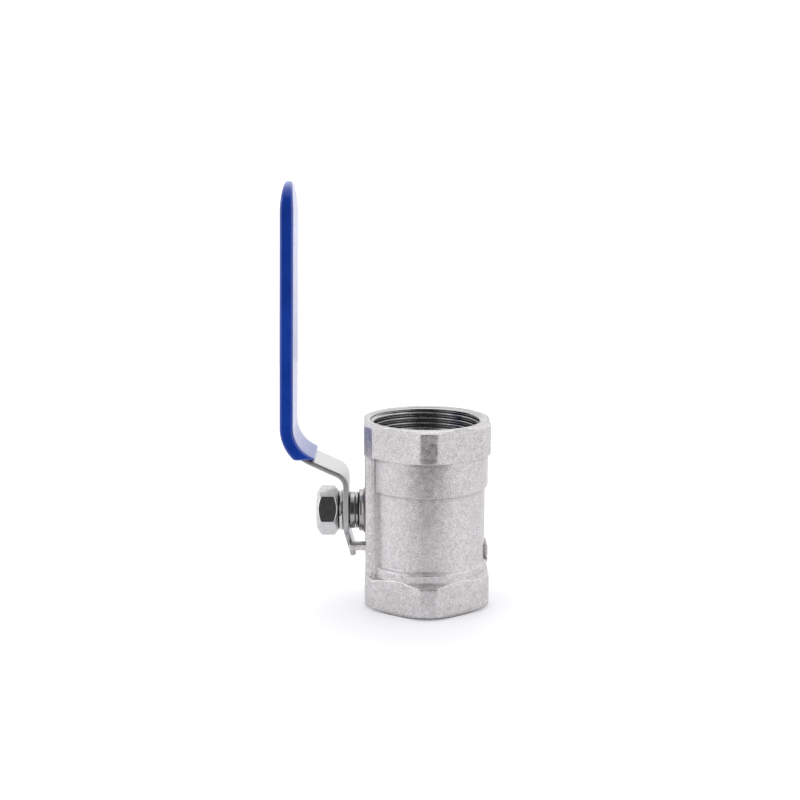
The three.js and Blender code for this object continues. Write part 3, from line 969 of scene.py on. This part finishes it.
def cast_steel():
    """Pickled casting: warm grey, with fine grain and faint blotches, hollows darkened by pickling residue
    and painted shade, edges lightened by rubbing and painted highlight, and painted shade in corners and
    gaps.
    """
    paint = Paint("cast_steel", 1.0, 0.42)
    grain = paint.noise(2.3, detail=3.0)
    patches = paint.noise(0.5, detail=4.0)
    broad = paint.noise(0.07, detail=2.0)
    tone = paint.calculate("MULTIPLY_ADD", grain, 0.72, paint.calculate("MULTIPLY", patches, 0.28))
    base = paint.blend(paint.span(tone, 0.34, 0.66), grey(0.34, 0.045), grey(0.76, 0.04))
    base = paint.blend(paint.span(broad, 0.35, 0.7, 0.0, 0.25), base, grey(0.46, 0.045))
    # Hollows darkened: partly pickling residue in the casting's recesses, partly painted shade under steps
    # and in creases.
    base = paint.blend(paint.span(paint.relief("hollow"), 0.3, 1.3, 0.0, 0.9), base, grey(0.09, 0.05))
    # Edges lightened: partly rubbed wear, partly painted highlight.
    base = paint.blend(paint.span(paint.relief("edge"), 0.2, 0.9, 0.0, 0.85), base, grey(0.95, 0.02))
    # Painted shade: darkened in corners and gaps between parts.
    paint.colour(paint.paint_gap_shade(base, 2.2))
    paint.roughness(paint.span(patches, 0.3, 0.7, 0.34, 0.50))
    fine = paint.noise(4.0, detail=2.0)
    height = paint.calculate("MULTIPLY_ADD", grain, 0.6, paint.calculate("MULTIPLY", fine, 0.4))
    paint.bump(height, 0.09)
    return paint.material


def machined_steel(name, axis, tone, roughness, depth):
    """Turned steel: tool marks of a depth in millimetres round an axis, painted shade in hollows, corners
    and gaps, and painted highlights on edges.
    """
    paint = Paint(name, 1.0, roughness)
    marks = paint.rings(axis, 1.6, 1.2)
    patches = paint.noise(0.5, detail=3.0)
    base = paint.blend(paint.span(patches, 0.3, 0.7), grey(tone * 0.9, 0.01), grey(tone * 1.08, 0.005))
    # Painted shade: darkened in hollows such as thread roots.
    base = paint.blend(paint.span(paint.relief("hollow"), 0.3, 1.4, 0.0, 0.9), base, grey(0.06, 0.03))
    # Painted highlight: edges lightened.
    base = paint.blend(paint.span(paint.relief("edge"), 0.4, 1.6, 0.0, 0.6), base, grey(0.85))
    # Painted shade: darkened in corners and gaps between parts.
    paint.colour(paint.paint_gap_shade(base, 0.9))
    paint.roughness(paint.span(patches, 0.3, 0.7, roughness * 0.8, roughness * 1.25))
    paint.bump(marks, depth)
    return paint.material


def strap_steel(name, tone):
    """Rolled strip: fine lines across it, soft blotches, painted highlights on edges and painted shade in
    corners and gaps.
    """
    paint = Paint(name, 1.0, 0.3)
    lines = paint.noise(3.2, stretch=(0.12, 1.0, 0.05), detail=3.0)
    patches = paint.noise(0.35, detail=3.0)
    base = paint.blend(paint.span(lines, 0.3, 0.7), grey(tone * 0.9, 0.01), grey(tone * 1.1, 0.01))
    base = paint.blend(paint.span(patches, 0.4, 0.75, 0.0, 0.3), base, grey(tone * 0.85, 0.02))
    # Painted highlight: edges lightened.
    base = paint.blend(paint.span(paint.relief("edge"), 0.4, 1.8, 0.0, 0.5), base, grey(0.85))
    # Painted shade: darkened in corners and gaps between parts.
    paint.colour(paint.paint_gap_shade(base, 1.4))
    paint.roughness(paint.span(lines, 0.25, 0.75, 0.26, 0.42))
    paint.bump(lines, 0.02)
    return paint.material


def blue_vinyl():
    """Dipped vinyl: deep glossy blue with a faint orange-peel surface."""
    paint = Paint("blue_vinyl", 0.0, 0.2)
    broad = paint.noise(0.09, detail=2.0)
    base = paint.blend(paint.span(broad, 0.3, 0.7), (0.003, 0.036, 0.30), (0.006, 0.052, 0.38))
    paint.colour(base)
    speckle = paint.noise(0.8, detail=2.0)
    paint.roughness(paint.span(speckle, 0.3, 0.7, 0.16, 0.26))
    paint.shader.inputs["Coat Weight"].default_value = 0.4
    paint.shader.inputs["Coat Roughness"].default_value = 0.08
    paint.bump(paint.calculate("MULTIPLY_ADD", speckle, 0.25, broad), 0.08)
    return paint.material


def ptfe():
    """Waxy white plastic with faint turning marks."""
    paint = Paint("ptfe", 0.0, 0.45)
    clouds = paint.noise(0.6, detail=3.0)
    paint.colour(paint.blend(paint.span(clouds, 0.3, 0.7), (0.80, 0.78, 0.73), (0.88, 0.87, 0.83)))
    paint.roughness(paint.span(clouds, 0.3, 0.7, 0.38, 0.52))
    paint.bump(paint.rings("X", 0.8, 1.0), 0.01)
    return paint.material


# ---------------------------------------------------------------- the valve


def finish(piece, material, slot, body, *nodes, sharp=32):
    """Smooths a piece, keeps edges of over sharp degrees crisp, paints it and gives it to its body."""
    mesh = piece.data
    mesh.shade_smooth()
    mesh.set_sharp_from_angle(angle=math.radians(sharp))
    mark_relief(mesh)
    mesh.materials.clear()
    mesh.materials.append(material)
    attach(piece, body)
    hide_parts(*nodes)


def paint_machined_faces(casting_piece, inside, boss, end):
    """Gives the casting's bore, its boss and its two end faces their own machined steel."""
    for material in (inside, boss, end):
        casting_piece.data.materials.append(material)
    for face in casting_piece.data.polygons:
        x, y, z = face.center / MM - Vector((FLOW_X, 0, 0))
        if math.hypot(x, y) < THREAD_MAJOR + 0.35:
            face.material_index = 1
        elif abs(face.normal.z) > 0.95 and abs(z - BODY_HEIGHT / 2) > BODY_HEIGHT / 2 - 0.1:
            face.material_index = 3
        elif -x > PAD_FACE + 0.6 and math.hypot(y, z - STEM_Z) < BOSS_RADIUS + 0.6:
            face.material_index = 2


def paint_sheared_edges(strap_piece):
    """Gives the strap's two long edges, which were sheared, a duller steel."""
    strap_piece.data.materials.append(strap_steel("sheared_edge", 0.44))
    for face in strap_piece.data.polygons:
        if abs(face.normal.y) > 0.55:
            face.material_index = 1


turned_inside = machined_steel("turned_inside", "Z", 0.42, 0.2, 0.002)
gland_steel = machined_steel("gland_steel", "X", 0.36, 0.22, 0.006)
faced_end = machined_steel("faced_end", "Z", 0.36, 0.34, 0.006)
casting_piece = valve_casting()
finish(casting_piece, cast_steel(), "cast_steel", "housing", "valve_body", sharp=58)
paint_machined_faces(casting_piece, turned_inside, gland_steel, faced_end)

finish(seat_retainer(), turned_inside, "machined_steel", "housing", "seat_retainer")
ball_steel = machined_steel("polished_ball", "Z", 0.8, 0.07, 0.002)
finish(polished_ball(), ball_steel, "polished_steel", "ball", "ball")

white_ptfe = ptfe()
finish(seat_ring(-1), white_ptfe, "ptfe", "housing", "seat_ring_lower")
finish(seat_ring(1), white_ptfe, "ptfe", "housing", "seat_ring_upper")
gasket = washer("retainer_seal", "retainer_gasket", 19.3, 0.1, around_flow)
finish(gasket, white_ptfe, "ptfe", "housing", "retainer_gasket")
thrust = washer("thrust_washer", "stem_thrust_washer", STEM_FIT, 0.15, around_stem)
finish(thrust, white_ptfe, "ptfe", "housing", "stem_thrust_washer")
for place in ("inner", "middle", "outer"):
    node = "packing_ring_" + place
    ring = washer("packing_" + place, node, STEM_FIT, 0.15, around_stem)
    finish(ring, white_ptfe, "ptfe", "housing", node)

finish(packing_gland(), gland_steel, "gland_steel", "housing", "packing_gland")
spacer = washer("spacer_ring", "spacer_washer", STEM_FIT, 0.3, around_stem)
finish(spacer, gland_steel, "gland_steel", "handle", "spacer_washer")

stem_steel = machined_steel("stem_steel", "X", 0.66, 0.24, 0.008)
finish(valve_stem(), stem_steel, "machined_steel", "handle", "stem")
strap_piece = lever_strap()
finish(strap_piece, strap_steel("strap_steel", 0.58), "strap_steel", "handle", "lever")
paint_sheared_edges(strap_piece)
finish(lever_sleeve(), blue_vinyl(), "blue_vinyl", "handle", "lever_sleeve")
washer_steel = machined_steel("washer_steel", "X", 0.62, 0.3, 0.008)
finish(lock_washer(), washer_steel, "washer_steel", "handle", "lock_washer")
nut_steel = machined_steel("nut_steel", "X", 0.56, 0.13, 0.004)
finish(handle_nut(), nut_steel, "nut_steel", "handle", "handle_nut")


# ---------------------------------------------------------------- camera

TARGET = Vector((6.14, 0, 87.73)) * MM
DISTANCE = 450.46 * MM
AZIMUTH = math.radians(-0.858)
ELEVATION = math.radians(10.668)
back = Vector((
    math.sin(AZIMUTH) * math.cos(ELEVATION),
    -math.cos(AZIMUTH) * math.cos(ELEVATION),
    math.sin(ELEVATION),
))
camera_data = bpy.data.cameras.new("camera")
camera_data.sensor_width = 36
camera_data.lens = 47.77
camera_data.clip_start = 0.01
camera = bpy.data.objects.new("camera", camera_data)
camera.location = TARGET + back * DISTANCE
camera.rotation_euler = back.to_track_quat("Z", "Y").to_euler()
bpy.context.scene.collection.objects.link(camera)
bpy.context.scene.camera = camera


# ---------------------------------------------------------------- floor and light


FLOOR_RADIUS = 0.44
FLOOR_Y = 0.255


def floor():
    """A round white table top, a little wider than the picture."""
    build = bmesh.new()
    bmesh.ops.create_circle(build, cap_ends=True, radius=FLOOR_RADIUS, segments=96)
    piece = new_piece("floor", new_mesh("floor", build))
    piece.location = (0, FLOOR_Y, 0)
    paint = Paint("studio_floor", 0.0, 0.6)
    cloud = paint.noise(0.01, detail=2.0)
    paint.colour(paint.blend(cloud, (0.70, 0.70, 0.71), (0.73, 0.73, 0.745)))
    paint.shader.inputs["Specular IOR Level"].default_value = 0.1
    paint.shader.inputs["Emission Color"].default_value = (1.0, 1.0, 1.02, 1)
    paint.shader.inputs["Emission Strength"].default_value = 0.3
    piece.data.materials.append(paint.material)


def softbox(name, location, size, power):
    """A rectangular light that faces the valve."""
    data = bpy.data.lights.new(name, "AREA")
    data.shape = "RECTANGLE"
    data.size, data.size_y = size
    data.energy = power
    lamp = bpy.data.objects.new(name, data)
    lamp.location = location
    lamp.rotation_euler = (Vector(location) - TARGET).to_track_quat("Z", "Y").to_euler()
    bpy.context.scene.collection.objects.link(lamp)


def studio_world():
    """A white backdrop in a bright room, with a dark strip from the photographer up to the ceiling."""
    world = bpy.data.worlds.new("studio")
    world.use_nodes = True
    bpy.context.scene.world = world
    tree = world.node_tree
    sky = tree.nodes["Background"]
    sky.inputs["Color"].default_value = (1.0, 1.0, 1.01, 1)
    seen = tree.nodes.new("ShaderNodeLightPath").outputs["Is Camera Ray"]
    place = tree.nodes.new("ShaderNodeTexCoord")
    direction = tree.nodes.new("ShaderNodeSeparateXYZ")
    tree.links.new(place.outputs["Generated"], direction.inputs[0])

    def fade(value, start, end, low, high):
        """Goes smoothly from low at start to high at end."""
        node = tree.nodes.new("ShaderNodeMapRange")
        node.interpolation_type = "SMOOTHSTEP"
        tree.links.new(value, node.inputs["Value"])
        for name, number in (("From Min", start), ("From Max", end), ("To Min", low), ("To Max", high)):
            node.inputs[name].default_value = number
        return node.outputs[0]

    def calculate(operation, *values):
        node = tree.nodes.new("ShaderNodeMath")
        node.operation = operation
        for socket, value in zip(node.inputs, values):
            tree.links.new(value, socket)
        return node.outputs[0]

    sideways = calculate("ABSOLUTE", direction.outputs["X"])
    strip = fade(sideways, 0.30, 0.55, 1.0, 0.0)
    ahead = fade(direction.outputs["Y"], -0.15, 0.10, 1.0, 0.0)
    overhead = fade(direction.outputs["Z"], 0.80, 0.97, 1.0, 0.45)
    dark = calculate("MULTIPLY", calculate("MULTIPLY", strip, ahead), overhead)
    below = fade(direction.outputs["Z"], -0.25, -0.02, 0.6, 1.0)
    light = calculate("MULTIPLY", fade(dark, 0.0, 1.0, 1.25, 0.08), below)
    room = calculate("MAXIMUM", light, seen)
    tree.links.new(room, sky.inputs["Strength"])


floor()
studio_world()
softbox("left_softbox", (-0.75, -0.30, 0.45), (0.5, 0.9), 1.5)
softbox("right_softbox", (0.75, -0.35, 0.45), (0.5, 0.9), 0.8)
softbox("top_softbox", (0.0, 0.55, 1.0), (0.9, 0.6), 1.2)
bpy.context.scene.view_settings.view_transform = "Standard"
